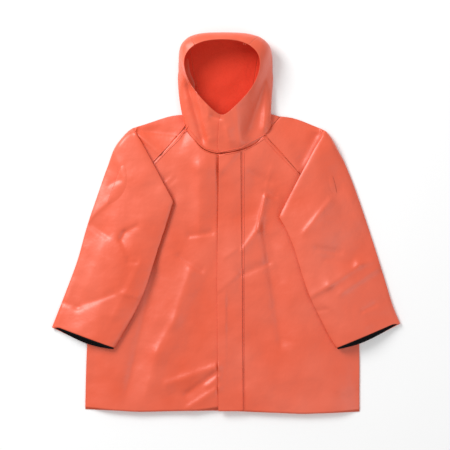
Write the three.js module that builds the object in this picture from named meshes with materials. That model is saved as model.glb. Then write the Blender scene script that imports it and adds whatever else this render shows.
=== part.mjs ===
// A hooded fishing jacket of coated cloth, laid on its back with the front closed and both sleeves turned
// in over the fronts. Millimetres, +Z up from the surface it lies on, +Y towards the hood and +X towards
// the wearer's left. Every piece is a wall of cloth round a grid of points in the middle of its thickness.
import * as THREE from 'three';

// ---- Driving sizes
const CLOTH = 1.2;            // thickness of the coated cloth
const SEAM_GAP = 0.5;         // between the edges of two pieces sewn edge to edge
const PLY = CLOTH + 0.3;      // middle of one ply to the middle of the ply that touches it
const FLOOR = CLOTH / 2;      // middle height of a ply that lies on the surface
const SIDE_HEIGHT = FLOOR + PLY;   // front panels at the side seams
const ARMHOLE_HEIGHT = 3.6;   // front panels at the top of the side seams
const SHOULDER_HEIGHT = 4.6;  // upper ply at the shoulder fold
const BODY_RISE = 12;         // how far the fronts stand over the side seams, inside the jacket's edge
const BODY_RISE_REACH = 70;   // width of the slope that takes them there
const NECK_RISE = 12;         // further rise round the throat
const NECK_RISE_REACH = 85;
const THROAT_Y = 205;
const SLEEVE_CLEAR = 5.8;     // sleeve's lower ply over the front it lies on, middle to middle
const SLEEVE_CLIMB = 30;      // length in which that ply climbs from the surface on to the front
const PLEAT_STEP = 7;         // rise from ply to ply in the pleat of the sleeve
const FLAP_LIFT = 3.6;        // storm flap over the right front, middle to middle
const NECK_STEPS = 6;         // lengths of neck seam from a front edge to the raglan seam
const THROAT_CENTRE = [8, 258];
const INNER_CUFF_INSET = 1.9; // inner cuff from the sleeve, middle to middle
const SNAP_COUNT = 5;
const SNAP_RADIUS = 6.5;
const SNAP_X = -1;

// Each side's outline in plan, x measured outwards from the centre line
const SIDES = {
  right: {
    sign: -1,
    shoulder: [[102, 302], [118, 308], [188, 284], [232, 270]],
    outerEdge: [[253, 263], [297, 224], [317, 169], [349, 76], [381, -17], [404, -107], [425, -161],
      [447, -219], [477, -295]],
    innerEdge: [[140, 50], [153, 5], [172, -52], [191, -111], [214, -185], [238, -239], [272, -300],
      [304, -357]],
    foldTip: [137, 55],
    raglanFront: [97, 273],
    raglanBack: [75, 300],
    armhole: [329, 16],
    sideSeam: [[329, 16], [372, -344], [384, -524]],
    frontHem: [[384, -519], [310, -526], [238, -531], [66, -527], [14, -518], [-20, -517]],
    backHem: [[384, -524], [238, -530], [0, -528]],
    neck: [[-18.5, 193], [9, 191], [50, 202], [76, 230], [97, 273]],
  },
  left: {
    sign: 1,
    shoulder: [[164, 297], [178, 302], [212, 289], [272, 265]],
    outerEdge: [[291, 256], [307, 241], [330, 197], [364, 119], [402, 10], [436, -95], [465, -189],
      [480, -239], [500, -284]],
    innerEdge: [[163, 9], [178, -15], [204, -78], [225, -149], [246, -209], [266, -249], [300, -317],
      [324, -357]],
    foldTip: [160, 13],
    raglanFront: [118, 247],
    raglanBack: [90, 300],
    armhole: [329, 16],
    sideSeam: [[329, 16], [380, -344], [386, -531]],
    frontHem: [[386, -526], [310, -533], [228, -537], [55, -529], [20, -528]],
    backHem: [[386, -531], [228, -537], [0, -528]],
    neck: [[21.5, 195], [50, 203], [92, 219], [118, 247]],
  },
};

// Storm flap: free edge and sewn edge in X at a few heights up the front
const FLAP = [
  { y: -528, free: -10, sewn: 59 },
  { y: -160, free: -14, sewn: 56 },
  { y: 194, free: -8, sewn: 52 },
];

// Hood, ring by ring from the neck to the face edge. front and back are the points of the ring on the
// centre line; square makes its back half boxy and pear draws its front half to a point.
const HOOD = [
  { frontY: 212, frontZ: 33, backY: 336, backZ: 0.6, right: 103, left: 137, square: 0.95, pear: 0.0 },
  { frontY: 230, frontZ: 38, backY: 400, backZ: 0.6, right: 114, left: 139, square: 0.82, pear: 0.1 },
  { frontY: 248, frontZ: 43, backY: 462, backZ: 0.6, right: 122, left: 141, square: 0.72, pear: 0.25 },
  { frontY: 264, frontZ: 48, backY: 508, backZ: 5, right: 121, left: 140, square: 0.64, pear: 0.4 },
  { frontY: 277, frontZ: 52, backY: 527, backZ: 23, right: 117, left: 136, square: 0.6, pear: 0.6 },
  { frontY: 288, frontZ: 55, backY: 532, backZ: 45, right: 112, left: 128, square: 0.6, pear: 0.8 },
  { frontY: 295, frontZ: 57, backY: 526, backZ: 66, right: 106, left: 117, square: 0.7, pear: 0.9 },
  { frontY: 299, frontZ: 58, backY: 508, backZ: 80, right: 101, left: 101, square: 0.85, pear: 1.0 },
];
// Angles round a hood ring, in degrees from the centre front
const HOOD_ANGLES = {
  overlap: -5,                // free edge of the left hood side, past the centre line
  underlap: -9,               // edge of the right hood side, past the centre line underneath
  leftFront: 10,              // over the edge of the left front
  raglan: 84,
  shoulder: 116,
  crown: 146,                 // seam of the crown strip
};
const OVERLAP_RATE = 2;       // millimetres of neck seam for each degree of the overlap

// Largest folds of the two fronts and the sleeves' upper plies: from, to, half width and height
const BODY_FOLDS = [
  { from: [-62, 145], to: [-60, -20], width: 26, height: 4 },
  { from: [-120, -95], to: [-62, -135], width: 12, height: -4 },
  { from: [-90, -140], to: [-205, -470], width: 24, height: 4 },
  { from: [-14, -400], to: [-150, -450], width: 14, height: 4 },
  { from: [-12, -465], to: [-95, -517], width: 12, height: 3.5 },
  { from: [118, 68], to: [98, -18], width: 12, height: 4.5 },
  { from: [76, 140], to: [130, 112], width: 14, height: -3.5 },
  { from: [60, -145], to: [130, -115], width: 12, height: -3 },
  { from: [60, -400], to: [147, -507], width: 24, height: 3 },
];
const SLEEVE_FOLDS = {
  right: [
    { from: [200, 240], to: [290, 205], width: 16, height: 4 },
    { from: [240, -10], to: [284, -60], width: 12, height: -3.5 },
    { from: [322, -42], to: [372, -5], width: 12, height: -3 },
    { from: [290, -195], to: [440, -226], width: 14, height: -3 },
  ],
  left: [
    { from: [232, -24], to: [300, 61], width: 14, height: 4 },
    { from: [266, -76], to: [330, -85], width: 10, height: -3.5 },
    { from: [246, -209], to: [418, -111], width: 14, height: 4 },
    { from: [333, -197], to: [439, -130], width: 14, height: 3 },
  ],
};

// ---- Small tools
const mix = (a, b, t) => a + (b - a) * t;
const clamp01 = (t) => Math.min(1, Math.max(0, t));
const ease = (from, to, x) => {
  const t = clamp01((x - from) / (to - from));
  return t * t * (3 - 2 * t);
};
const radians = THREE.MathUtils.degToRad;
const plan = ([x, y]) => new THREE.Vector2(x, y);
const between = (a, b, t) => a.clone().lerp(b, t);
const curveThrough = (points) => new THREE.SplineCurve(points.map(plan));
const spread = (count, from = 0, to = 1) =>
  Array.from({ length: count }, (_, i) => mix(from, to, i / (count - 1)));

// Value of column y at x in a list of [x, y] rows, whichever way x runs
function valueAt(rows, x, key = 0, column = 1) {
  const sorted = [...rows].sort((a, b) => a[key] - b[key]);
  let n = sorted.findIndex((row) => row[key] > x);
  if (n < 0) n = sorted.length - 1;
  n = Math.max(1, n);
  const [low, high] = [sorted[n - 1], sorted[n]];
  return mix(low[column], high[column], clamp01((x - low[key]) / (high[key] - low[key])));
}

// Distance from a plan point to an open chain of points
function distanceToChain(x, y, chain) {
  let nearest = Infinity;
  for (let i = 1; i < chain.length; i += 1) {
    const [ax, ay] = chain[i - 1];
    const [dx, dy] = [chain[i][0] - ax, chain[i][1] - ay];
    const t = clamp01(((x - ax) * dx + (y - ay) * dy) / (dx * dx + dy * dy));
    nearest = Math.min(nearest, Math.hypot(x - ax - dx * t, y - ay - dy * t));
  }
  return nearest;
}

// Height that a list of soft folds adds at a plan point
function foldHeight(x, y, folds) {
  let height = 0;
  for (const fold of folds) {
    const [ax, ay] = fold.from;
    const [dx, dy] = [fold.to[0] - ax, fold.to[1] - ay];
    const t = ((x - ax) * dx + (y - ay) * dy) / (dx * dx + dy * dy);
    const inside = ease(-0.25, 0.2, t) * ease(1.25, 0.8, t);
    const across = Math.abs((x - ax) * dy - (y - ay) * dx) / Math.hypot(dx, dy);
    height += fold.height * inside * Math.exp(-((across / fold.width) ** 2));
  }
  return height;
}

// Middle height of the lowest upper ply, at any plan point: fronts, and the sleeve tops beside them
function topHeight(x, y) {
  const side = x < 0 ? SIDES.right : SIDES.left;
  const out = Math.abs(x);
  const toSide = distanceToChain(out, y, side.sideSeam);
  const toShoulder = distanceToChain(out, y, [...side.shoulder, side.outerEdge[0]]);
  const edge = mix(mix(SIDE_HEIGHT, ARMHOLE_HEIGHT, ease(-60, 10, y)), SHOULDER_HEIGHT, ease(30, 130, y));
  const inside = ease(0, BODY_RISE_REACH, toSide) * ease(0, BODY_RISE_REACH, toShoulder);
  const throat = Math.exp(-((Math.hypot(x, y - THROAT_Y) / NECK_RISE_REACH) ** 2));
  return edge + inside * (BODY_RISE + foldHeight(x, y, BODY_FOLDS)) + NECK_RISE * throat;
}

// ---- A wall of cloth round a grid of middle points; closed says that its rows are rings
function clothWall(rows, closed = false, thickness = CLOTH) {
  const [count, width] = [rows.length, rows[0].length];
  const spans = closed ? width : width - 1;
  const middle = new THREE.BufferGeometry();
  const faces = [];
  for (let r = 0; r < count - 1; r += 1) {
    for (let c = 0; c < spans; c += 1) {
      const next = (c + 1) % width;
      const [a, b] = [r * width + c, r * width + next];
      const [d, e] = [a + width, b + width];
      faces.push(a, b, e, a, e, d);
    }
  }
  const points = rows.flat();
  middle.setAttribute('position', new THREE.Float32BufferAttribute(points.flatMap((p) => p.toArray()), 3));
  middle.setIndex(faces);
  middle.computeVertexNormals();
  const normals = middle.getAttribute('normal');
  const offset = (shift) => points.flatMap((p, i) =>
    new THREE.Vector3().fromBufferAttribute(normals, i).multiplyScalar(shift).add(p).toArray());

  const total = points.length;
  const index = [...faces];
  for (let i = 0; i < faces.length; i += 3) {
    index.push(faces[i] + total, faces[i + 2] + total, faces[i + 1] + total);
  }
  const rim = (a, b) => index.push(a, a + total, b + total, a, b + total, b);
  for (let c = 0; c < spans; c += 1) {
    const next = (c + 1) % width;
    rim(c, next);
    rim((count - 1) * width + next, (count - 1) * width + c);
  }
  if (!closed) {
    for (let r = 0; r < count - 1; r += 1) {
      rim((r + 1) * width, r * width);
      rim(r * width + width - 1, (r + 1) * width + width - 1);
    }
  }
  const wall = new THREE.BufferGeometry();
  const skin = [...offset(thickness / 2), ...offset(-thickness / 2)];
  wall.setAttribute('position', new THREE.Float32BufferAttribute(skin, 3));
  wall.setIndex(index);
  wall.computeVertexNormals();
  return wall;
}

// ---- Back panel: flat on the surface
function backPanel() {
  const outline = [];
  for (const side of [SIDES.right, SIDES.left]) {
    const hem = curveThrough([...side.backHem].reverse()).getPoints(8).map((p) => [p.x, p.y]);
    const seam = curveThrough([...side.sideSeam].reverse()).getPoints(6).map((p) => [p.x, p.y]);
    const half = [...hem.slice(1), ...seam.slice(1), [side.raglanBack[0], side.raglanBack[1] - SEAM_GAP]];
    half[half.length - 2] = side.armhole.map((value) => value - SEAM_GAP);
    const turned = half.map(([x, y]) => [x * side.sign, y]);
    if (side.sign > 0) outline.push([0, side.backHem.at(-1)[1]], ...turned);
    else outline.unshift(...turned.reverse());
  }
  const shape = new THREE.Shape(outline.map(plan));
  return new THREE.ExtrudeGeometry(shape, { depth: CLOTH, bevelEnabled: false });
}

// Points of the neck seam, evenly spaced from a front edge to the raglan seam
const neckNodes = (side) => curveThrough(side.neck).getSpacedPoints(NECK_STEPS);

// ---- A front: columns run from the hem to the neck and raglan edge, rows from the centre to the side
function frontPanel(side) {
  const innerX = side.neck[0][0];
  const outerX = side.sideSeam.at(-1)[0];
  const seam = curveThrough(side.sideSeam);
  const neck = neckNodes(side);
  const raglan = spread(RAGLAN_STEPS + 1).slice(1)
    .map((t) => between(plan(side.raglanFront), plan(side.armhole), t));
  const rows = [];
  [...neck, ...raglan].forEach((top, n, tops) => {
    const across = n < NECK_STEPS
      ? NECK_SHARE * n / NECK_STEPS
      : mix(NECK_SHARE, 1, (n - NECK_STEPS) / (tops.length - 1 - NECK_STEPS));
    const hemX = mix(innerX, outerX, across);
    const hem = new THREE.Vector2(hemX, valueAt(side.frontHem, hemX));
    const away = top.clone().sub(new THREE.Vector2(THROAT_CENTRE[0] * side.sign, THROAT_CENTRE[1])).normalize();
    if (n >= NECK_STEPS) away.set(n > NECK_STEPS ? -0.7 : 0, -0.7);
    if (n === 0) away.set(0, -1);
    top.addScaledVector(away, SEAM_GAP);
    rows.push(spread(17).map((up) => {
      const flat = between(hem, top, up);
      const bulge = seam.getPoint(1 - up).x - mix(outerX, side.armhole[0], up);
      flat.x += bulge * across ** 3;
      const x = flat.x * side.sign;
      return new THREE.Vector3(x, flat.y, topHeight(x, flat.y));
    }));
  });
  return clothWall(side.sign > 0 ? rows : rows.map((row) => [...row].reverse()));
}

// ---- Storm flap: sewn down along one edge, its free edge held off the right front by the snaps
function stormFlap() {
  const sewnLift = PLY + 0.6;
  const rows = spread(19).map((up) => {
    const y = mix(FLAP[0].y, FLAP.at(-1).y, up);
    const at = (name) => valueAt(FLAP.map((row) => [row.y, row[name]]), y);
    return spread(6).map((across) => {
      const x = mix(at('free'), at('sewn'), across);
      const rise = mix(-4, 7, across) * ease(0.8, 1, up);
      const lift = mix(FLAP_LIFT, sewnLift, ease(SIDES.left.neck[0][0], at('sewn'), x));
      return new THREE.Vector3(x, y + rise - SEAM_GAP, topHeight(x, y + rise) + lift);
    });
  });
  return clothWall(rows);
}

// ---- Snap fastener: socket and stud closed on each other, between the flap and the right front
function snap() {
  const half = (FLAP_LIFT - PLY - 0.5) / 2;
  const profile = [[0, -half], [SNAP_RADIUS, -half], [SNAP_RADIUS, -0.3], [SNAP_RADIUS - 1.5, -0.3],
    [SNAP_RADIUS - 1.5, 0.3], [SNAP_RADIUS, 0.3], [SNAP_RADIUS - 0.8, half], [0, half]];
  const geometry = new THREE.LatheGeometry(profile.map(plan), 20);
  return geometry.rotateX(Math.PI / 2);
}

// ---- Sleeves. A sleeve is a ring of points at each station from the raglan seam to the cuff. A ring
// runs out of the shoulder or outer fold, over the upper ply, round the underarm seam and back below.
const UPPER_SHARES = [0.03, 0.1, 0.2, 0.32, 0.45, 0.58, 0.71, 0.85, 0.965];
const OUTER_LEG_SHARES = [0.03, 0.24, 0.47, 0.7, 0.88, 1];
const INNER_LEG_SHARES = [0.35, 0.68, 0.94];
const TOP_STATIONS = 4;       // raglan seam to the valley fold
const RAGLAN_STEPS = 10;
const NECK_SHARE = 0.3;       // of a front's hem width that runs up to the neck
const PLEAT_STATIONS = 5;     // valley fold, underside of the pleat, visible fold
const KNEE_STEP = 3.4;        // along the side seam, from station to station of the turned-in cloth

function seamToFold(side, corner, shoulder, share, along) {
  const [top, tip] = [plan(side.shoulder[0]), plan(side.armhole)];
  const bend = corner.share;
  const seam = share < bend
    ? between(top, corner.point, share / bend)
    : between(corner.point, tip, (share - bend) / (1 - bend));
  seam.x += SEAM_GAP / 2;
  seam.y += SEAM_GAP / 2;
  const foldEnd = plan(side.shoulder.at(-1));
  const fold = between(foldEnd, new THREE.Vector2(side.armhole[0] + 8, side.armhole[1] - 7), share);
  const onShoulder = shoulder.getPointAt(along).sub(between(top, foldEnd, along));
  return between(seam, fold, along).add(onShoulder.multiplyScalar(1 - share));
}

// Where a ring below the armhole passes the side seam, just outside it
function kneePoint(side, outer, inner, past) {
  const limit = side.armhole[1] - 6 - KNEE_STEP * past;
  let y = limit;
  for (const t of spread(201)) {
    const p = between(outer, inner, t);
    if (p.y < limit && p.x <= valueAt(side.sideSeam, p.y, 1, 0) + 7) {
      y = t === 0 ? limit : Math.min(limit, p.y);
      break;
    }
  }
  return new THREE.Vector2(valueAt(side.sideSeam, y, 1, 0) + 7, y);
}

function sleeveStations(side, folds) {
  const shoulder = curveThrough(side.shoulder);
  const outerEdge = curveThrough(side.outerEdge);
  const innerEdge = curveThrough(side.innerEdge);
  const top = plan(side.shoulder[0]);
  const corner = (point, share) => ({ point: plan(point), share });
  const upperCorner = corner(side.raglanFront, 0.1);
  const lowerCorner = corner(side.raglanBack, 0.12);
  const heightAt = (p) => topHeight(p.x * side.sign, p.y);
  const stations = [];

  for (const along of spread(TOP_STATIONS)) {
    stations.push({
      upper: (share) => seamToFold(side, upperCorner, shoulder, share, along),
      lower: (share) => seamToFold(side, lowerCorner, shoulder, share, along),
      upperZ: (p) => heightAt(p),
      climb: 0,
      fold: 1,
    });
  }

  const [valley, ridge] = [plan(side.armhole), plan(side.foldTip)];
  const [foldStart, foldEnd] = [plan(side.shoulder.at(-1)), plan(side.outerEdge[0])];
  const pleat = [
    { turn: 0.0, out: 3, lift: 0.5, climb: 0.35 },
    { turn: 0.08, out: -1, lift: 1.0, climb: 0.8 },
    { turn: 0.5, out: 0, lift: 1.0, climb: 1 },
    { turn: 0.93, out: 0, lift: 1.0, climb: 1 },
    { turn: 1.0, out: -3, lift: 1.5, climb: 1 },
  ];
  pleat.forEach(({ turn, out, lift, climb }, n) => {
    const outer = between(foldStart, foldEnd, (n + 0.7) / (PLEAT_STATIONS + 0.4));
    const inner = between(new THREE.Vector2(valley.x + 8, valley.y - 7), ridge, turn);
    const away = new THREE.Vector2(outer.y - inner.y, inner.x - outer.x).normalize().multiplyScalar(out);
    stations.push({
      outer,
      inner,
      knee: kneePoint(side, outer, inner, n + 1),
      upper: (share) => between(outer, inner, share).add(away.clone().multiplyScalar(ease(0, 0.2, share))),
      upperZ: (p) => heightAt(p) + PLEAT_STEP * lift,
      climb,
      fold: 0,
    });
  });

  const downSleeve = [0, 0.055, 0.12, 0.2, 0.29, 0.38, 0.47, 0.56, 0.65, 0.74, 0.82, 0.89, 0.95, 1];
  for (const down of downSleeve) {
    stations.push(lowerStation(side, folds, outerEdge, innerEdge, down, heightAt));
  }
  for (const station of stations) station.top = top;
  return stations;
}

// A station below the pleat, at a share of the way down to the cuff
function lowerStation(side, folds, outerEdge, innerEdge, down, heightAt) {
  const [outer, inner] = [outerEdge.getPointAt(down), innerEdge.getPointAt(down)];
  const bead = mix(5, 9.5, ease(0.6, 1, down));
  const crown = mix(10, 7, ease(0.5, 1, down));
  const pleated = ease(0.24, 0, down);
  const past = PLEAT_STATIONS + 1 + 14 * down;
  const upperZ = (p, share) => {
    const low = mix(FLOOR, heightAt(inner) + SLEEVE_CLEAR, ease(0, 0.75, share)) + bead;
    const round = low + crown * Math.sin(Math.PI * share) ** 0.7 + foldHeight(p.x, p.y, folds) * pleatFree;
    return mix(round, heightAt(p) + 2 * PLEAT_STEP, pleated);
  };
  const pleatFree = 1 - pleated;
  return {
    outer,
    inner,
    knee: kneePoint(side, outer, inner, past),
    upper: (share) => between(outer, inner, share),
    upperZ,
    climb: 1,
    fold: 1,
    cuffReach: 9 * ease(0.8, 1, down),
  };
}

function sleeveRing(side, station) {
  const heightAt = (p) => topHeight(p.x * side.sign, p.y);
  const at = (p, z) => new THREE.Vector3(p.x * side.sign, p.y, z);
  const upper = UPPER_SHARES.map((share) => {
    const p = station.upper(share);
    return at(p, station.upperZ(p, share));
  });
  const lower = [];
  if (station.knee) {
    const { outer, knee, inner } = station;
    const legLength = outer.distanceTo(knee);
    const span = outer.distanceTo(inner);
    const reach = (p) => (station.cuffReach ?? 0) * Math.sin(Math.PI * clamp01(outer.distanceTo(p) / span));
    const add = (p, z) => {
      const out = reach(p);
      lower.push(at(new THREE.Vector2(p.x - 0.35 * out, p.y - 0.94 * out), z));
    };
    for (const share of OUTER_LEG_SHARES) {
      const p = between(outer, knee, share);
      const up = ease(SLEEVE_CLIMB, 0, (1 - share) * legLength) * station.climb;
      add(p, mix(FLOOR, heightAt(knee) + SLEEVE_CLEAR, up));
    }
    for (const share of INNER_LEG_SHARES) {
      const p = between(knee, inner, share);
      add(p, mix(FLOOR, heightAt(p) + SLEEVE_CLEAR, station.climb));
    }
  } else {
    const kneeShare = 0.93;
    const shares = [...OUTER_LEG_SHARES.map((s) => s * kneeShare),
      ...INNER_LEG_SHARES.map((s) => mix(kneeShare, 1, s))];
    for (const share of shares) lower.push(at(station.lower(share), FLOOR));
  }
  const edge = (p, a, b) => at(p, (a.z + b.z) / 2);
  const outerEdge = edge(station.outer ?? station.upper(0), upper[0], lower[0]);
  const innerEdge = edge(station.inner ?? station.upper(1), upper.at(-1), lower.at(-1));
  return [outerEdge, ...upper, innerEdge, ...lower.reverse()];
}

function sleeve(side, folds) {
  const rings = sleeveStations(side, folds).map((station) => sleeveRing(side, station));
  return clothWall(side.sign > 0 ? rings : rings.map((ring) => [...ring].reverse()), true);
}

// ---- Inner cuff: a tube just inside the sleeve end, its lower half a little longer than the sleeve
function innerCuff(side, folds) {
  const outerEdge = curveThrough(side.outerEdge);
  const innerEdge = curveThrough(side.innerEdge);
  const heightAt = (p) => topHeight(p.x * side.sign, p.y);
  const rings = [0.82, 0.89, 0.95, 0.995].map((down) => {
    const station = lowerStation(side, folds, outerEdge, innerEdge, down, heightAt);
    if (down > 0.99) station.cuffReach += 6;
    return sleeveRing(side, station);
  });
  const middles = rings.map((ring) => ring
    .reduce((sum, p) => sum.add(p), new THREE.Vector3()).divideScalar(ring.length));
  const inset = rings.map((ring, r) => ring.map((p, c) => {
    const [before, after] = [ring.at(c - 1), ring[(c + 1) % ring.length]];
    const run = after.clone().sub(before);
    const down = (rings[r + 1] ?? rings[r])[c].clone().sub((rings[r - 1] ?? rings[r])[c]);
    const inwards = run.cross(down).normalize();
    if (inwards.dot(middles[r].clone().sub(p)) < 0) inwards.negate();
    return p.clone().addScaledVector(inwards, INNER_CUFF_INSET);
  }));
  return clothWall(side.sign > 0 ? inset : inset.map((ring) => [...ring].reverse()), true);
}

// ---- Hood. A turn is the angle from the centre front, towards the side that a piece belongs to. The
// neck ring follows the neck seam, the rings above it come from the table.
function neckPoint(side, turn) {
  const { raglan, shoulder } = HOOD_ANGLES;
  const start = side.sign > 0 ? HOOD_ANGLES.leftFront : HOOD_ANGLES.underlap;
  const top = plan(side.shoulder[0]);
  const nodes = neckNodes(side);
  const inwards = new THREE.Vector2(0, 1);
  let p;
  let z = FLOOR;
  if (turn > shoulder) {
    const t = (turn - shoulder) / (180 - shoulder);
    p = new THREE.Vector2(mix(top.x, 0, t), mix(top.y, side.raglanBack[1], ease(0, 0.4, t)));
  } else {
    if (turn > raglan) {
      p = between(plan(side.raglanFront), top, (turn - raglan) / (shoulder - raglan));
    } else {
      const at = clamp01((turn - start) / (raglan - start)) * NECK_STEPS;
      const n = Math.min(NECK_STEPS - 1, Math.floor(at));
      p = between(nodes[n], nodes[n + 1], at - n);
      p.x += Math.min(0, turn - start) * OVERLAP_RATE;
    }
    z = topHeight(p.x * side.sign, p.y) + 1;
    inwards.set(THROAT_CENTRE[0] * side.sign, THROAT_CENTRE[1]).sub(p).normalize();
  }
  p.addScaledVector(inwards, 2 * SEAM_GAP);
  return new THREE.Vector3(p.x * side.sign, p.y, z);
}

function ringPoint(ring, side, turn) {
  const angle = radians(turn);
  const power = turn > 90 ? ring.square : 1;
  const along = -Math.sign(Math.cos(angle)) * Math.abs(Math.cos(angle)) ** power;
  const pear = 0.97 + 0.42 * along - 0.15 * along * along;
  const across = Math.sign(turn) * Math.abs(Math.sin(angle)) ** power * mix(1, pear, ring.pear);
  return new THREE.Vector3(
    across * (side.sign < 0 ? ring.right : ring.left) * side.sign,
    mix(ring.frontY, ring.backY, (1 + along) / 2),
    mix(ring.frontZ, ring.backZ, (1 + along) / 2),
  );
}

function hoodPiece(columns, lift = () => 0) {
  const rows = [-1, ...HOOD.keys()].map((n) => columns.map(({ side, turn }) => {
    const p = n < 0 ? neckPoint(side, turn) : ringPoint(HOOD[n], side, turn);
    p.z += lift(turn, (n + 1) / HOOD.length);
    return p;
  }));
  return clothWall(rows);
}

const HOOD_SEAM = 0.3;        // half of the gap between two hood pieces, in degrees
const turnsOf = (side, turns) => turns.map((turn) => ({ side, turn }));

function hoodSide(side, front, lift) {
  const { raglan, shoulder, crown } = HOOD_ANGLES;
  const turns = [
    ...front,
    ...spread(NECK_STEPS + 1, front.at(-1), raglan).slice(1),
    ...spread(3, raglan, shoulder).slice(1),
    ...spread(4, shoulder, crown - HOOD_SEAM).slice(1),
  ];
  const columns = turnsOf(side, turns);
  return hoodPiece(side.sign > 0 ? columns : columns.reverse(), lift);
}

function hoodCrown() {
  const turns = spread(5, HOOD_ANGLES.crown + HOOD_SEAM, 180);
  return hoodPiece([...turnsOf(SIDES.left, turns), ...turnsOf(SIDES.right, turns.slice(0, -1).reverse())]);
}

const overlapLift = (turn, up) => mix(FLAP_LIFT, 1.9, up) * ease(50, 24, turn);
const hoodLeft = () =>
  hoodSide(SIDES.left, [HOOD_ANGLES.overlap, 2.5, HOOD_ANGLES.leftFront], overlapLift);
const hoodRight = () => hoodSide(SIDES.right, [HOOD_ANGLES.underlap]);

// ---- Materials and the assembled jacket
const finish = (color, roughness, metalness = 0) =>
  new THREE.MeshStandardMaterial({ color, roughness, metalness });
const COATED_ORANGE = finish(0xea6a47, 0.42);
const CUFF_BLACK = finish(0x0b0b0d, 0.85);
const SNAP_METAL = finish(0x8a8d90, 0.35, 0.9);

const jacket = new THREE.Group();
function addPiece(name, geometry, material) {
  const mesh = new THREE.Mesh(geometry, material);
  mesh.name = name;
  jacket.add(mesh);
  return mesh;
}

addPiece('back', backPanel(), COATED_ORANGE);
addPiece('front_right', frontPanel(SIDES.right), COATED_ORANGE);
addPiece('front_left', frontPanel(SIDES.left), COATED_ORANGE);
addPiece('storm_flap', stormFlap(), COATED_ORANGE);
addPiece('sleeve_right', sleeve(SIDES.right, SLEEVE_FOLDS.right), COATED_ORANGE);
addPiece('sleeve_left', sleeve(SIDES.left, SLEEVE_FOLDS.left), COATED_ORANGE);
addPiece('inner_cuff_right', innerCuff(SIDES.right, SLEEVE_FOLDS.right), CUFF_BLACK);
addPiece('inner_cuff_left', innerCuff(SIDES.left, SLEEVE_FOLDS.left), CUFF_BLACK);
addPiece('hood_right', hoodRight(), COATED_ORANGE);
addPiece('hood_left', hoodLeft(), COATED_ORANGE);
addPiece('hood_crown', hoodCrown(), COATED_ORANGE);
spread(SNAP_COUNT, -425, 35).forEach((y, n) => {
  const fastener = addPiece(`snap_${n + 1}`, snap(), SNAP_METAL);
  fastener.position.set(SNAP_X, y, topHeight(SNAP_X, y) + FLAP_LIFT / 2);
});

// The origin is under the middle of the jacket's box, on the surface
const box = new THREE.Box3().setFromObject(jacket);
const centre = box.getCenter(new THREE.Vector3());
centre.z = box.min.z;
for (const piece of jacket.children) piece.position.sub(centre);

export default jacket;
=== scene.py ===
import math

import bmesh
import bpy
import numpy as np
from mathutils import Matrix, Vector
from mathutils.bvhtree import BVHTree


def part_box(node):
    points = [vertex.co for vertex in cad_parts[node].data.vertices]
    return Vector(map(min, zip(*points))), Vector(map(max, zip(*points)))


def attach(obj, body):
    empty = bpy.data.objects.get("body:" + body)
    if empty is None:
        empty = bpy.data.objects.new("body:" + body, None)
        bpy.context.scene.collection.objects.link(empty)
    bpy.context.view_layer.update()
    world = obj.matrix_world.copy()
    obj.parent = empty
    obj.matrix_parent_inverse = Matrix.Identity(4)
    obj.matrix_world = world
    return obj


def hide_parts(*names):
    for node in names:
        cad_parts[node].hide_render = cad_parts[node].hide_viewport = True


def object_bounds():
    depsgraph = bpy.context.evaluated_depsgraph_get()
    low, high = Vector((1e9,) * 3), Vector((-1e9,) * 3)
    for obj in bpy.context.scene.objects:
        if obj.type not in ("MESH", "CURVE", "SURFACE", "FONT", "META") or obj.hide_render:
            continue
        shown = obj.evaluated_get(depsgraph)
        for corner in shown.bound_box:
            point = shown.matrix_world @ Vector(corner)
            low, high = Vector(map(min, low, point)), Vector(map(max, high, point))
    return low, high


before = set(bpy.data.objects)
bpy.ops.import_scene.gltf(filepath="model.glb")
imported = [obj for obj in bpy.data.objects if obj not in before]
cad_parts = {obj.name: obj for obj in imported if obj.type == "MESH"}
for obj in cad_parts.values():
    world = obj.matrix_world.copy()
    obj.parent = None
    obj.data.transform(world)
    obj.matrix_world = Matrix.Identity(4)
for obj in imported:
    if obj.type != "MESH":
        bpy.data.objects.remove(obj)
CAD_BOX = [list(map(float, corner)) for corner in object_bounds()]

MM = 0.001
# The jacket's drawing has its own zero. The flap's free edge and the hem place it in the frame.
FLAP_FREE_X = -13.9 * MM
HEM_Y = -537.0 * MM
DRAWING = Vector((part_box("storm_flap")[0].x - FLAP_FREE_X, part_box("back")[0].y - HEM_Y, 0.0))


def at(x, y):
    """A plan point of the drawing, in millimetres, as a point of the frame."""
    return Vector((x * MM + DRAWING.x, y * MM + DRAWING.y))


# ---------------------------------------------------------------- camera and light
CAMERA_HEIGHT = 6.02
FRAME_WIDTH = 1.26                     # what the frame spans, measured on the cloth's upper side
CLOTH_LEVEL = 0.02
VIEW_CENTRE = (8.4, -7.0)              # drawing, mm
SENSOR_WIDTH = 36.0


def camera():
    """Looks straight down on the jacket from high up."""
    data = bpy.data.cameras.new("overhead camera")
    data.sensor_width = SENSOR_WIDTH
    data.lens = SENSOR_WIDTH * (CAMERA_HEIGHT - CLOTH_LEVEL) / FRAME_WIDTH
    data.clip_end = 20.0
    obj = bpy.data.objects.new("overhead camera", data)
    centre = at(*VIEW_CENTRE)
    obj.location = (centre.x, centre.y, CAMERA_HEIGHT)
    bpy.context.scene.collection.objects.link(obj)
    bpy.context.scene.camera = obj


def softbox(name, location, size, power):
    """A round soft light that points at the middle of the jacket."""
    data = bpy.data.lights.new(name, "AREA")
    data.shape = "DISK"
    data.size = size
    data.energy = power
    obj = bpy.data.objects.new(name, data)
    obj.location = location
    obj.rotation_euler = (-Vector(location)).to_track_quat("-Z", "Y").to_euler()
    bpy.context.scene.collection.objects.link(obj)


# The room is dimmer in reflections, so that shaded cloth stays deep in colour.
ROOM_LIGHT, ROOM_GLOSS = 0.60, 0.26


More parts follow.
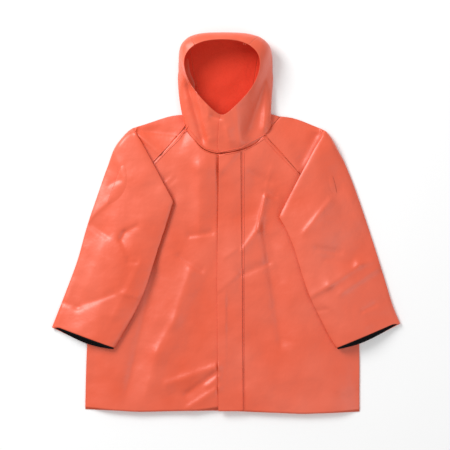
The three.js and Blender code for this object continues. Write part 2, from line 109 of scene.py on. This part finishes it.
def studio():
    """A pale room, a large key light from the upper left and a weak fill from the lower right."""
    world = bpy.data.worlds.new("studio")
    bpy.context.scene.world = world
    world.use_nodes = True
    background = world.node_tree.nodes["Background"]
    background.inputs["Color"].default_value = (1.0, 1.0, 1.0, 1.0)
    ray = world.node_tree.nodes.new("ShaderNodeLightPath")
    strength = world.node_tree.nodes.new("ShaderNodeMapRange")
    strength.inputs["To Min"].default_value = ROOM_LIGHT
    strength.inputs["To Max"].default_value = ROOM_GLOSS
    world.node_tree.links.new(ray.outputs["Is Glossy Ray"], strength.inputs["Value"])
    world.node_tree.links.new(strength.outputs["Result"], background.inputs["Strength"])
    softbox("key light", (-2.1, 2.0, 2.2), 1.8, 98)
    softbox("fill light", (2.4, -1.2, 2.6), 1.6, 12)
    scene = bpy.context.scene
    scene.view_settings.view_transform = "Standard"
    scene.view_settings.look = "None"


FLOOR_HALF = 6.0
FLOOR_DROP = 0.4 * MM                  # below the cloth, so that the two faces don't coincide


def floor():
    """A plain pale sheet under the jacket."""
    mesh = bpy.data.meshes.new("studio floor")
    corners_of_floor = [(-FLOOR_HALF, -FLOOR_HALF, 0), (FLOOR_HALF, -FLOOR_HALF, 0),
                        (FLOOR_HALF, FLOOR_HALF, 0), (-FLOOR_HALF, FLOOR_HALF, 0)]
    mesh.from_pydata(corners_of_floor, [], [(0, 1, 2, 3)])
    obj = bpy.data.objects.new("studio floor", mesh)
    obj.location.z = CAD_BOX[0][2] - FLOOR_DROP
    bpy.context.scene.collection.objects.link(obj)
    paint = Paint("pale floor")
    paint.shader(base=(0.99, 0.99, 0.99), roughness=0.9)
    mesh.materials.append(paint.material)


# ---------------------------------------------------------------- materials
class Value:
    """A shader socket that adds Math nodes when it is used in an expression."""

    def __init__(self, paint, socket):
        self.paint, self.socket = paint, socket

    def _math(self, operation, first, second):
        return self.paint.node("ShaderNodeMath", {"operation": operation}, [first, second])

    def __add__(self, other):
        return self._math("ADD", self, other)

    def __sub__(self, other):
        return self._math("SUBTRACT", self, other)

    def __mul__(self, other):
        return self._math("MULTIPLY", self, other)

    def __rsub__(self, other):
        return self._math("SUBTRACT", other, self)

    __radd__, __rmul__ = __add__, __mul__


SHADER_SOCKETS = {"metallic": "Metallic", "coat_weight": "Coat Weight", "coat_roughness": "Coat Roughness",
                  "specular": "Specular IOR Level"}


class Paint:
    """One material and the tree that it is built in."""

    def __init__(self, name):
        self.material = bpy.data.materials.new(name)
        self.material.use_nodes = True
        self.tree = self.material.node_tree
        self.bsdf = self.tree.nodes["Principled BSDF"]

    def node(self, kind, settings=None, inputs=(), output=0):
        """Any node: its settings first, then what goes into its sockets."""
        made = self.tree.nodes.new(kind)
        for key, value in (settings or {}).items():
            if key == "stops":
                ramp = made.color_ramp
                while len(ramp.elements) < len(value):
                    ramp.elements.new(0.5)
                for element, (position, grey) in zip(ramp.elements, value):
                    element.position = position
                    element.color = (grey, grey, grey, 1)
            else:
                setattr(made, key, value)
        items = inputs.items() if isinstance(inputs, dict) else enumerate(inputs)
        for key, value in items:
            self.feed(made.inputs[key], value)
        return Value(self, made.outputs[output])

    def feed(self, socket, value):
        if isinstance(value, Value):
            self.tree.links.new(value.socket, socket)
        elif isinstance(value, tuple) and len(value) == 3 and socket.type == "RGBA":
            socket.default_value = (*value, 1.0)
        else:
            socket.default_value = value

    def place(self):
        return self.node("ShaderNodeTexCoord", output="Object")

    def noise(self, scale, detail=3.0):
        return self.node("ShaderNodeTexNoise", {}, {"Vector": self.place(), "Scale": scale, "Detail": detail})

    def ramp(self, value, stops):
        return self.node("ShaderNodeValToRGB", {"stops": stops}, [value])

    def blend(self, mask, low, high):
        """A colour between low and high. A Mix node's colours go into sockets 6 and 7, and come out of 2."""
        return self.node("ShaderNodeMix", {"data_type": "RGBA"}, {0: mask, 6: low, 7: high}, output=2)

    def shader(self, base, roughness, normal=None, **constants):
        self.feed(self.bsdf.inputs["Base Color"], base)
        self.feed(self.bsdf.inputs["Roughness"], roughness)
        if normal:
            self.feed(self.bsdf.inputs["Normal"], normal)
        for name, value in constants.items():
            self.feed(self.bsdf.inputs[SHADER_SOCKETS[name]], value)

    def bump(self, height, distance, strength, under=None):
        inputs = {"Height": height, "Distance": distance, "Strength": strength}
        if under:
            inputs["Normal"] = under
        return self.node("ShaderNodeBump", {}, inputs)


ORANGE = (0.820, 0.094, 0.030)
# The lighter, pinkish orange is painted sheen, a stand-in for glossy highlights; noise scatters it at random
# over the coating.
ORANGE_PAINTED_SHEEN = (0.860, 0.148, 0.078)
INSIDE_THREAD, INSIDE_GAP = (0.840, 0.055, 0.018), (0.76, 0.038, 0.011)
COATING_RELIEF = [
    # noise scale, detail, depth (m), strength
    (60.0, 3.0, 0.0007, 0.3),          # small dimples
    (16.0, 4.0, 0.007, 0.6),           # crumpling
    (6.0, 2.0, 0.040, 0.6),            # broad waves
    (900.0, 2.0, 0.00012, 0.3),        # leathery grain
]
COATING_ROUGHNESS, ROUGHNESS_SPREAD, BARE_CLOTH_ROUGHER = 0.36, 0.12, 0.45
COAT = 0.55


def coated_cloth():
    """Soft PVC coating with a broad sheen, a faint mottle that is partly random tone and partly painted
    pinkish sheen, fine grain, and bare textile on the inside.
    """
    paint = Paint("orange coated cloth")
    # Noise mottle between the orange and the pinkish orange: partly random tone, partly painted sheen.
    tone_and_painted_sheen = paint.ramp(paint.noise(5.0), [(0.28, 0.0), (0.75, 1.0)])
    inside = paint.node("ShaderNodeAttribute", {"attribute_name": "inside"}, output="Fac")
    outside = paint.blend(tone_and_painted_sheen, ORANGE, ORANGE_PAINTED_SHEEN)
    weave = paint.node("ShaderNodeTexVoronoi", {"feature": "F1"}, {"Vector": paint.place(), "Scale": 420.0},
                       output="Distance")
    base = paint.blend(inside, outside, paint.blend(weave, INSIDE_THREAD, INSIDE_GAP))
    relief = None
    for scale, detail, depth, strength in COATING_RELIEF:
        relief = paint.bump(paint.noise(scale, detail), depth, strength, under=relief)
    rough = paint.noise(25.0) * ROUGHNESS_SPREAD + COATING_ROUGHNESS + inside * BARE_CLOTH_ROUGHER
    paint.shader(base, rough, relief, coat_weight=COAT - inside * COAT, coat_roughness=0.40)
    return paint.material


def cuff_cloth():
    """Matt black stretch cloth with a fine rib."""
    paint = Paint("black cuff cloth")
    rib = paint.node("ShaderNodeTexWave", {"wave_type": "BANDS"}, {"Vector": paint.place(), "Scale": 160.0})
    base = paint.blend(rib, (0.004, 0.004, 0.005), (0.012, 0.012, 0.014))
    paint.shader(base, 0.9, paint.bump(rib, 0.0004, 0.5), specular=0.15)
    return paint.material


def snap_metal():
    """Dull nickel with faint scratches."""
    paint = Paint("snap metal")
    wear = paint.noise(400.0, 4.0)
    paint.shader((0.52, 0.53, 0.55), wear * 0.2 + 0.28, paint.bump(wear, 0.0001, 0.3), metallic=0.9)
    return paint.material


# ---------------------------------------------------------------- folds
# Folds of the cloth, a row for each: x and y of one end, x and y of the other end, half width, and height of
# the ridge, or minus the depth of the trough. All are millimetres of the drawing.
FRONT_FOLDS = [
    (-62, 145, -61, -20, 24, 5.0), (-110, 190, -60, 160, 40, 4.0), (-210, -120, -150, 60, 30, -5.0),
    (118, -20, 165, -330, 16, -5.0), (190, 20, 150, 110, 22, -4.0), (30, -250, 60, -420, 40, -3.0),
    (-90, -38, -31, -30, 7, -3.0), (-121, -97, -60, -136, 7, -3.5),
    (-172, 109, -148, 130, 6, -2.0), (-144, 109, -132, 119, 5, -1.5), (-90, -139, -137, -279, 16, 3.0),
    (-137, -279, -185, -365, 16, 3.0), (-185, -365, -210, -469, 14, 2.2), (-190, -150, -262, -469, 24, -6.0),
    (-14, -402, -151, -449, 10, 3.5), (-11, -433, -42, -455, 6, 2.5), (-11, -463, -95, -517, 8, 3.0),
    (-24, -424, -100, -480, 8, -3.0), (55, 140, 100, 160, 30, 2.0),
    (120, 69, 100, -17, 7, 4.0), (100, -17, 59, -74, 8, 3.0), (78, 139, 130, 112, 8, -2.5),
    (120, 82, 147, 71, 6, -2.0), (137, 147, 123, 85, 12, 2.0), (59, -146, 130, -115, 8, -2.5),
    (137, -49, 164, -150, 14, -2.5), (59, -402, 147, -507, 16, 2.2), (90, -320, 190, -470, 26, -2.0),
    (200, -300, 330, -480, 40, 2.0), (-330, -380, -250, -500, 30, 2.0),
]
SLEEVE_FOLDS = [
    (-249, 259, -104, 245, 10, -3.0), (-238, 248, -176, 195, 9, 3.5), (-288, 164, -275, 130, 14, 3.0),
    (-241, -10, -274, -27, 7, -2.5), (-274, -27, -283, -46, 7, -2.5), (-283, -46, -263, -97, 8, -2.5),
    (-311, 108, -286, 119, 7, -2.0), (-372, -4, -323, -40, 7, -2.5), (-259, -111, -244, -113, 6, -2.0),
    (-365, 18, -323, 55, 10, 2.0), (-449, -225, -404, -239, 7, -2.0), (-404, -239, -291, -195, 9, -2.5),
    (-291, -195, -238, -209, 8, 2.0), (-330, -60, -380, -180, 20, 2.5), (-230, -120, -300, -260, 16, 2.0),
    (300, 61, 232, -24, 9, 3.5), (266, -76, 330, -85, 7, -2.5), (294, -100, 358, -118, 14, -3.0),
    (246, -209, 300, -178, 8, 3.0), (300, -178, 384, -120, 9, 3.0), (384, -120, 419, -111, 8, 2.0),
    (333, -197, 439, -130, 8, 2.5), (266, -249, 290, -244, 5, -1.5), (395, -249, 428, -232, 6, -2.0),
    (222, 168, 262, 242, 10, -3.5), (340, 120, 380, 20, 18, 2.0), (300, -230, 400, -290, 18, 1.5),
]
FLAP_FOLDS = [(0, 147, 40, 195, 12, 2.0), (8, -97, 40, -77, 7, 1.5), (-6, -190, 40, -150, 8, 1.5)]
HOOD_FOLDS = [
    (-116, 467, -92, 380, 15, -5.0), (-92, 380, -55, 240, 15, -9.0), (-72, 370, -38, 236, 11, 6.0),
    (-40, 325, -38, 300, 9, 3.0), (139, 447, 78, 265, 24, -11.0), (14, 255, 20, 232, 12, 4.0),
    (126, 380, 118, 270, 12, 5.0), (40, 330, 52, 230, 14, 3.0), (-24, 295, -8, 290, 7, -3.0),
]
FOLD_GAIN = 1.35                       # all the folds together are pressed this much deeper
GENTLE_SIDE = 2.3                      # a crease is steep on one side and runs out softly on the other
END_FADE = 1.4                         # a fold fades out past its ends over this many half widths


def fold_height(x, y, folds):
    """Height in metres that the folds add at the drawing points x, y, two arrays in millimetres."""
    total = np.zeros_like(x)
    for ax, ay, bx, by, width, height in folds:
        dx, dy = bx - ax, by - ay
        length = math.hypot(dx, dy)
        along = ((x - ax) * dx + (y - ay) * dy) / length
        across = ((x - ax) * dy - (y - ay) * dx) / length
        past = np.maximum(0, np.maximum(-along, along - length))
        ends = np.exp(-((past / (END_FADE * width)) ** 2))
        reach = np.where(across > 0, width, GENTLE_SIDE * width)
        total += FOLD_GAIN * height * MM * ends / (1 + (across / reach) ** 2) ** 2
    return total


def ease(low, high, value):
    """Runs smoothly from 0 at low to 1 at high."""
    t = np.clip((value - low) / (high - low), 0, 1)
    return t * t * (3 - 2 * t)


# ---------------------------------------------------------------- cloth pieces
MERGE_DISTANCE = 0.002 * MM
SHARP_ANGLE = math.radians(60)         # edges bent more than this are a wall's cut edges
PLANAR_SHAPE = math.radians(179)       # lets every pair of triangles join, whatever its outline
FLOOR_PLY = (3 * MM, 9 * MM)           # cloth lower than the first isn't folded, higher than the second fully
PLY_APART = (3 * MM, 12 * MM)          # plies nearer than the first move together, past the second alone
WALL_CLEAR = 2.5 * MM                  # above a point's own wall
SNAP_COLUMN_X = -1.0                   # drawing, mm: the snaps under the flap
SNAP_BAND = (8.0, 18.0)                # mm from the column: flat up to the first, folded from the second
LID_SEARCH = -6 * MM                   # a lid is looked for from this far below the cloth
LID_GAP = 0.4 * MM
LOWEST_TROUGH = 1.9 * MM


def smooth_copy(node, levels):
    """The node's wall as smooth cloth: merged, joined back to four-sided faces and subdivided."""
    work = bmesh.new()
    work.from_mesh(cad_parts[node].data)
    bmesh.ops.remove_doubles(work, verts=work.verts, dist=MERGE_DISTANCE)
    bmesh.ops.join_triangles(work, faces=work.faces, angle_face_threshold=SHARP_ANGLE,
                             angle_shape_threshold=PLANAR_SHAPE)
    crease = work.edges.layers.float.get("crease_edge") or work.edges.layers.float.new("crease_edge")
    for edge in work.edges:
        if len(edge.link_faces) == 2 and edge.calc_face_angle() > SHARP_ANGLE:
            edge[crease] = 1.0
    mesh = bpy.data.meshes.new(node + " cage")
    work.to_mesh(mesh)
    work.free()
    obj = bpy.data.objects.new(node + "_cloth", mesh)
    bpy.context.scene.collection.objects.link(obj)
    smooth = obj.modifiers.new("smooth", "SUBSURF")
    smooth.levels = smooth.render_levels = levels
    bpy.context.view_layer.update()
    fine = bpy.data.meshes.new_from_object(obj.evaluated_get(bpy.context.evaluated_depsgraph_get()))
    obj.modifiers.clear()
    obj.data = fine
    fine.name = obj.name
    fine.materials.clear()
    fine.shade_smooth()
    return obj


def points_of(mesh):
    """The mesh's points as an array with a row for each."""
    flat = np.empty(len(mesh.vertices) * 3)
    mesh.vertices.foreach_get("co", flat)
    return flat.reshape(-1, 3)


def set_points(mesh, points):
    mesh.vertices.foreach_set("co", points.ravel())
    mesh.update()


def tree_of(meshes):
    """One search tree over several meshes."""
    work = bmesh.new()
    for mesh in meshes:
        work.from_mesh(mesh)
    tree = BVHTree.FromBMesh(work)
    work.free()
    return tree


def headroom(points, tree, start):
    """How far above each point the tree's first face is, looking up from `start` above it, or infinity."""
    up = Vector((0, 0, 1))
    gaps = np.full(len(points), np.inf)
    for index, point in enumerate(points):
        hit = tree.ray_cast(Vector((point[0], point[1], point[2] + start)), up, 0.2)
        if hit[0] is not None:
            gaps[index] = hit[3] + start
    return gaps


def fold(obj, folds, lone_ply=False, snaps=None, lid=None):
    """Presses the folds into the cloth, leaving what rests on the floor where it is.

    lone_ply folds only the upper ply of a tube, snaps is "above" or "below" where the snaps lie on that side
    of the cloth, and lid is the tree of what lies over it.
    """
    points = points_of(obj.data)
    before = points[:, 2].copy()
    x = (points[:, 0] - DRAWING.x) / MM
    y = (points[:, 1] - DRAWING.y) / MM
    lift = ease(*FLOOR_PLY, before) * fold_height(x, y, folds)
    if lone_ply:
        gaps = headroom(points, tree_of([obj.data]), WALL_CLEAR)
        lift *= np.where(np.isinf(gaps), 1.0, 1.0 - ease(*PLY_APART, gaps))
    if snaps:
        near = 1 - ease(*SNAP_BAND, np.abs(x - SNAP_COLUMN_X))
        lift = lift * (1 - near) + near * (np.maximum(lift, 0) if snaps == "below" else 0)
    if lid:
        room = headroom(points, lid, LID_SEARCH)
        lift = np.where(np.isinf(room), lift, np.minimum(lift, room - LID_GAP))
    points[:, 2] = np.maximum(before + lift, np.minimum(before, LOWEST_TROUGH))
    set_points(obj.data, points)


# The line of each cuff's edge in the drawing (mm), outer end first.
CUFF_EDGES = {"sleeve_right": ((-476.8, -293.7), (-304.6, -357.3)),
              "sleeve_left": ((500.9, -286.4), (321.7, -354.5))}
CUFF_PULL, CUFF_PULL_REACH = 7 * MM, 45 * MM
UPPER_PLY = (8 * MM, 15 * MM)          # cloth lower than the first isn't pulled, higher than the second fully


def pull_cuff(obj, edge):
    """Draws the upper ply's cuff edge up the sleeve, so that the cuff's inside shows below it."""
    points = points_of(obj.data)
    start, end = at(*edge[0]), at(*edge[1])
    along = (end - start).normalized()
    up_sleeve = Vector((-along.y, along.x))
    up_sleeve *= 1 if up_sleeve.y > 0 else -1
    away = (points[:, 0] - start.x) * up_sleeve.x + (points[:, 1] - start.y) * up_sleeve.y
    near_edge = 1 - ease(0.0, CUFF_PULL_REACH, np.maximum(away, 0))
    pull = CUFF_PULL * near_edge * ease(*UPPER_PLY, points[:, 2])
    points[:, 0] += pull * up_sleeve.x
    points[:, 1] += pull * up_sleeve.y
    set_points(obj.data, points)


SEAM_REACH = 1.6 * MM
SEAM_DRAW = 0.47                       # each edge covers this share of the gap


def close_seam(first, second):
    """Draws two edges that are sewn together to within a hair of each other."""
    pair = [(first, tree_of([second.data])), (second, tree_of([first.data]))]
    moved = []
    for obj, other in pair:
        points = points_of(obj.data)
        for index, point in enumerate(points):
            near = other.find_nearest(Vector(point), SEAM_REACH)[0]
            if near is not None:
                points[index] += SEAM_DRAW * (np.array(near) - point)
        moved.append((obj, points))
    for obj, points in moved:
        obj.data.vertices.foreach_set("co", points.ravel())
        obj.data.update()


# The hood's hollow has its middle on a line along Y (drawing, mm).
HOLLOW_X, HOLLOW_START_Y, HOLLOW_END_Y, HOLLOW_Z = 2.0, 250.0, 470.0, 30.0
FACING = 0.1                           # least cosine between a point's normal and the way to the middle


def mark_inside(obj):
    """Writes 1 on the skin that faces the hood's hollow and 0 elsewhere."""
    start, end = at(HOLLOW_X, HOLLOW_START_Y), at(HOLLOW_X, HOLLOW_END_Y)
    values = []
    for vertex in obj.data.vertices:
        middle = Vector((start.x, min(max(vertex.co.y, start.y), end.y), HOLLOW_Z * MM))
        values.append(1.0 if vertex.normal.dot((middle - vertex.co).normalized()) > FACING else 0.0)
    layer = obj.data.attributes.new("inside", "FLOAT", "POINT")
    layer.data.foreach_set("value", values)


PIECES = {
    # node: subdivision levels, slot, flat width and length (m), area of the cut cloth (m2)
    "back": (1, "coated_cloth", (0.772, 0.840), 0.515),
    "sleeve_right": (3, "coated_cloth", (0.480, 0.700), 0.272),
    "sleeve_left": (3, "coated_cloth", (0.480, 0.700), 0.275),
    "front_right": (3, "coated_cloth", (0.405, 0.805), 0.262),
    "front_left": (3, "coated_cloth", (0.370, 0.785), 0.237),
    "storm_flap": (3, "coated_cloth", (0.073, 0.730), 0.050),
    "hood_right": (3, "coated_cloth", (0.190, 0.330), 0.039),
    "hood_left": (3, "coated_cloth", (0.200, 0.350), 0.046),
    "hood_crown": (3, "coated_cloth", (0.180, 0.330), 0.052),
    "inner_cuff_right": (2, "cuff_cloth", (0.380, 0.110), 0.037),
    "inner_cuff_left": (2, "cuff_cloth", (0.380, 0.110), 0.036),
}


# ---------------------------------------------------------------- seam welts
# Seams in the drawing (mm): the welt's middle line and the piece that carries it.
WELTS = {
    # piece: (distance of the two beads from the line, the line), 0 for a single bead
    "front_right": [(4.4, [(-98, 273), (-126, 233), (-147, 213), (-206, 152)]),
                    (0.0, [(-101, 259), (-63, 211), (-49, 199.7), (-17, 190.0)])],
    "storm_flap": [(0.0, [(-10, 189.0), (10, 190.5), (30, 194.0), (52, 200.0)])],
    "front_left": [(3.8, [(117, 248), (125, 231), (213, 139)]),
                   (2.8, [(58, 195), (58, 60), (58.5, -100), (58.5, -300), (60.5, -523)]),
                   (0.0, [(63, 202.5), (90, 216), (118, 235)])],
    "hood_right": [(0.0, [(-98, 270), (-57, 217), (-44, 207), (-9, 197.5)]),
                   (2.6, [(-84, 519), (-81, 487)])],
    "hood_left": [(0.0, [(-2, 197.5), (52, 208.5), (119, 246)]),
                  (2.6, [(71, 523), (62, 494)])],
}
BEAD_RADIUS = 1.15 * MM
BEAD_SIDES = 8
BEAD_STEP = 3.0                        # mm along the seam
BEAD_RAISE = 0.15 * MM                 # of the bead's middle above the cloth
BEAD_CLIMB = 1.2 * MM                  # most that a bead climbs or drops in one step
ABOVE_ALL = 0.2


def bead_group(material):
    """Geometry Nodes that sweep a round bead along each line of the mesh that they are given."""
    group = bpy.data.node_groups.new("seam beads", "GeometryNodeTree")
    group.interface.new_socket("Geometry", in_out="INPUT", socket_type="NodeSocketGeometry")
    radius = group.interface.new_socket("Bead radius", in_out="INPUT", socket_type="NodeSocketFloat")
    group.interface.new_socket("Geometry", in_out="OUTPUT", socket_type="NodeSocketGeometry")

    def node(kind, settings=None, inputs=None):
        made = group.nodes.new(kind)
        for key, value in (settings or {}).items():
            setattr(made, key, value)
        for key, value in (inputs or {}).items():
            if isinstance(value, bpy.types.NodeSocket):
                group.links.new(value, made.inputs[key])
            else:
                made.inputs[key].default_value = value
        return made

    given = group.nodes.new("NodeGroupInput")
    line = node("GeometryNodeMeshToCurve", None, {"Mesh": given.outputs["Geometry"]})
    upright = node("GeometryNodeSetCurveNormal", {"mode": "Z_UP"}, {"Curve": line.outputs[0]})
    ring = node("GeometryNodeCurvePrimitiveCircle", None,
                {"Resolution": BEAD_SIDES, "Radius": given.outputs["Bead radius"]})
    sweep = node("GeometryNodeCurveToMesh", None,
                 {"Curve": upright.outputs[0], "Profile Curve": ring.outputs[0], "Fill Caps": True})
    finish = node("GeometryNodeSetMaterial", None, {"Geometry": sweep.outputs[0], "Material": material})
    result = group.nodes.new("NodeGroupOutput")
    group.links.new(finish.outputs[0], result.inputs[0])
    return group, radius.identifier


def seam_lines(paths, tree):
    """Two lines beside each path, or one on it, laid on the cloth, as a mesh of edges."""
    points, edges = [], []
    down = Vector((0, 0, -1))
    for half, path in paths:
        knots = [Vector(p) for p in path]
        for side in ((-1, 1) if half else (1,)):
            first = len(points)
            height = None
            for a, b in zip(knots, knots[1:]):
                steps = max(2, round((b - a).length / BEAD_STEP))
                across = Vector((-(b - a).y, (b - a).x)).normalized() * half * side
                for step in range(steps + (b is knots[-1])):
                    spot = at(*(a.lerp(b, step / steps) + across))
                    hit = tree.ray_cast(Vector((spot.x, spot.y, ABOVE_ALL)), down, 2 * ABOVE_ALL)
                    level = hit[0].z if hit[0] is not None else height
                    if level is None:
                        continue
                    if height is not None:
                        level = min(max(level, height - BEAD_CLIMB), height + BEAD_CLIMB)
                    height = level
                    points.append((spot.x, spot.y, height + BEAD_RAISE))
            edges += [(i, i + 1) for i in range(first, len(points) - 1)]
    return points, edges


def add_welts(obj, paths, tree, group, identifier):
    """Joins the beads along the paths to the piece that carries them."""
    points, edges = seam_lines(paths, tree)
    mesh = bpy.data.meshes.new("seam lines")
    mesh.from_pydata(points, edges, [])
    lines = bpy.data.objects.new("seam lines", mesh)
    bpy.context.scene.collection.objects.link(lines)
    sweep = lines.modifiers.new("beads", "NODES")
    sweep.node_group = group
    sweep[identifier] = BEAD_RADIUS
    bpy.context.view_layer.update()
    beads = bpy.data.meshes.new_from_object(lines.evaluated_get(bpy.context.evaluated_depsgraph_get()))
    lines.modifiers.clear()
    bpy.data.objects.remove(lines)
    work = bmesh.new()
    work.from_mesh(obj.data)
    work.from_mesh(beads)
    for face in work.faces:
        face.smooth = True
        face.material_index = 0
    work.to_mesh(obj.data)
    work.free()
    bpy.data.meshes.remove(beads)


# ---------------------------------------------------------------- the jacket
def finish_node(node, material):
    """A CAD node that is already right keeps its mesh and takes its finish."""
    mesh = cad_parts[node].data
    mesh.materials.clear()
    mesh.materials.append(material)


SNAP_COUNT = 5
camera()
studio()
floor()
MATERIALS = {"coated_cloth": coated_cloth(), "cuff_cloth": cuff_cloth(), "snap_metal": snap_metal()}
cloth = {node: smooth_copy(node, row[0]) for node, row in PIECES.items()}
for node in ("sleeve_right", "sleeve_left", "inner_cuff_right", "inner_cuff_left"):
    fold(cloth[node], SLEEVE_FOLDS, lone_ply=True)
for node, edge in CUFF_EDGES.items():
    pull_cuff(cloth[node], edge)
sleeves = tree_of([cloth["sleeve_right"].data, cloth["sleeve_left"].data])
fold(cloth["front_right"], FRONT_FOLDS, snaps="above", lid=sleeves)
fold(cloth["front_left"], FRONT_FOLDS, snaps="above", lid=sleeves)
fold(cloth["storm_flap"], FRONT_FOLDS + FLAP_FOLDS, snaps="below")
for node in ("hood_right", "hood_left", "hood_crown"):
    mark_inside(cloth[node])
    fold(cloth[node], HOOD_FOLDS)
for side in ("hood_right", "hood_left"):
    close_seam(cloth["hood_crown"], cloth[side])
surface = tree_of([obj.data for obj in cloth.values()])
beads, bead_size = bead_group(MATERIALS["coated_cloth"])
for node, paths in WELTS.items():
    add_welts(cloth[node], paths, surface, beads, bead_size)
for node, (levels, slot, flat, area) in PIECES.items():
    piece = cloth[node]
    piece.data.materials.clear()
    piece.data.materials.append(MATERIALS[slot])
    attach(piece, "root")
    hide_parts(node)
for number in range(1, SNAP_COUNT + 1):
    finish_node(f"snap_{number}", MATERIALS["snap_metal"])
